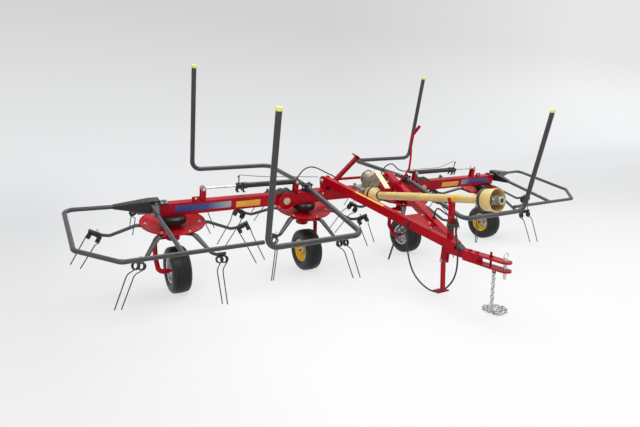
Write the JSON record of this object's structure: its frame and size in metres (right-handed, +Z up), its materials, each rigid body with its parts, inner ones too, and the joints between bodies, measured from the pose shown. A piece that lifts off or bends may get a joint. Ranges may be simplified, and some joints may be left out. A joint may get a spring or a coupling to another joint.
{
  "type": "hay tedder",
  "caption": "Trailed hay tedder with tined rotors on folding wing beams, tube guards, drawbar and a driven shaft to the tractor.",
  "frame": {"origin": "bottom centre of the bounding box, on the ground", "axes": "+X to the machine's right, -Y towards the tractor, +Z up"},
  "size_m": [5.4672, 2.8445, 1.9797],
  "materials": {
    "black_paint": "satin",
    "black_plastic": "matte",
    "bright_steel": "satin",
    "cast_grey": "matte",
    "cream_plastic": "matte",
    "guard_grey": "satin",
    "hose_rubber": "matte",
    "khaki_plastic": "matte",
    "red_paint": "satin",
    "tyre_rubber": "matte",
    "yellow_paint": "satin",
    "yellow_plastic": "matte"
  },
  "bodies": {
    "base": {"centre_frame": "red_paint", "hinge_pins": "cream_plastic", "drawbar_left": "red_paint", "drawbar_right": "red_paint", "drawbar_head": "red_paint", "hitch_clevis": "red_paint", "hitch_pin": "bright_steel", "gearbox": "cast_grey", "hook_strap": "cream_plastic", "mast": "red_paint", "tilt_lever": "red_paint", "drive_shaft": "bright_steel", "shaft_guard": "khaki_plastic", "hose_holder": "black_plastic", "inner_guards": "guard_grey", "guard_clamps": "black_paint", "post_caps": "yellow_plastic", "inner_housings": "black_paint", "inner_legs": "red_paint", "safety_chain": "bright_steel", "hose_couplings": "black_plastic", "hose_loop": "hose_rubber", "hose_arc": "hose_rubber", "hose_left": "hose_rubber", "hose_right": "hose_rubber"},
    "stand": {"stand_leg": "red_paint"},
    "wing_left": {"wing_beam_left": "red_paint", "outer_guard_left": "guard_grey", "outer_housing_left": "black_paint", "outer_leg_left": "red_paint"},
    "barrel_left": {"barrel_left": "black_paint"},
    "rod_left": {"rod_left": "bright_steel"},
    "wing_right": {"wing_beam_right": "red_paint", "outer_guard_right": "guard_grey", "outer_housing_right": "black_paint", "outer_leg_right": "red_paint"},
    "barrel_right": {"barrel_right": "black_paint"},
    "rod_right": {"rod_right": "bright_steel"},
    "rotor_1": {"dish_1": "red_paint", "arms_1": "guard_grey"},
    "wheel_1": {"tyre_1": "tyre_rubber", "rim_1": "yellow_paint"},
    "rotor_2": {"dish_2": "red_paint", "arms_2": "guard_grey"},
    "wheel_2": {"tyre_2": "tyre_rubber", "rim_2": "yellow_paint"},
    "rotor_3": {"dish_3": "red_paint", "arms_3": "guard_grey"},
    "wheel_3": {"tyre_3": "tyre_rubber", "rim_3": "yellow_paint"},
    "rotor_4": {"dish_4": "red_paint", "arms_4": "guard_grey"},
    "wheel_4": {"tyre_4": "tyre_rubber", "rim_4": "yellow_paint"}
  },
  "joints": [
    {"name": "rotor_2_spin", "type": "hinge", "parent": "base", "child": "rotor_2", "pos_m": [-0.635, 0.514, 0.66], "axis": [0, -0.225, 0.9744], "continuous": true},
    {"name": "rotor_1_spin", "type": "hinge", "parent": "wing_left", "child": "rotor_1", "pos_m": [-1.905, 0.514, 0.66], "axis": [0, -0.225, 0.9744], "continuous": true},
    {"name": "rotor_3_spin", "type": "hinge", "parent": "base", "child": "rotor_3", "pos_m": [0.635, 0.514, 0.66], "axis": [0, -0.225, 0.9744], "continuous": true},
    {"name": "rotor_4_spin", "type": "hinge", "parent": "wing_right", "child": "rotor_4", "pos_m": [1.905, 0.514, 0.66], "axis": [0, -0.225, 0.9744], "continuous": true},
    {"name": "wheel_1_spin", "type": "hinge", "parent": "wing_left", "child": "wheel_1", "pos_m": [-1.905, 0.467, 0.203], "axis": [1, 0, 0], "continuous": true},
    {"name": "wheel_2_spin", "type": "hinge", "parent": "base", "child": "wheel_2", "pos_m": [-0.635, 0.467, 0.203], "axis": [1, 0, 0], "continuous": true},
    {"name": "wheel_3_spin", "type": "hinge", "parent": "base", "child": "wheel_3", "pos_m": [0.635, 0.467, 0.203], "axis": [1, 0, 0], "continuous": true},
    {"name": "wheel_4_spin", "type": "hinge", "parent": "wing_right", "child": "wheel_4", "pos_m": [1.905, 0.467, 0.203], "axis": [1, 0, 0], "continuous": true},
    {"name": "wing_left_fold", "type": "hinge", "parent": "base", "child": "wing_left", "pos_m": [-0.857, 0.49938, 0.72333], "axis": [0, 0.9744, 0.225], "range_deg": [0, 88]},
    {"name": "barrel_left_swing", "type": "hinge", "parent": "base", "child": "barrel_left", "pos_m": [-0.746, 0.46181, 0.88605], "axis": [0, 0.9744, 0.225], "range_deg": [0, 93.06]},
    {"name": "rod_left_slide", "type": "slide", "parent": "barrel_left", "child": "rod_left", "axis": [-1, 0, 0], "range_m": [-0.274, 0]},
    {"name": "wing_right_fold", "type": "hinge", "parent": "base", "child": "wing_right", "pos_m": [0.857, 0.49938, 0.72333], "axis": [0, -0.9744, -0.225], "range_deg": [0, 88]},
    {"name": "barrel_right_swing", "type": "hinge", "parent": "base", "child": "barrel_right", "pos_m": [0.746, 0.46181, 0.88605], "axis": [0, -0.9744, -0.225], "range_deg": [0, 93.06]},
    {"name": "rod_right_slide", "type": "slide", "parent": "barrel_right", "child": "rod_right", "axis": [1, 0, 0], "range_m": [-0.274, 0]},
    {"name": "stand_fold", "type": "hinge", "parent": "base", "child": "stand", "pos_m": [0.052, -0.712, 0.289], "axis": [-1, 0, 0], "range_deg": [-95, 0]}
  ],
  "couplings": [
    {"joint": "rotor_1_spin", "follows": "rotor_2_spin", "ratio": -1},
    {"joint": "rotor_3_spin", "follows": "rotor_2_spin", "ratio": -1},
    {"joint": "rotor_4_spin", "follows": "rotor_2_spin", "ratio": 1},
    {"joint": "barrel_left_swing", "follows": "wing_left_fold", "ratio": 1.0518},
    {"joint": "rod_left_slide", "follows": "wing_left_fold", "m_per_rad": -0.17711},
    {"joint": "barrel_right_swing", "follows": "wing_right_fold", "ratio": 1.0518},
    {"joint": "rod_right_slide", "follows": "wing_right_fold", "m_per_rad": -0.17711}
  ]
}
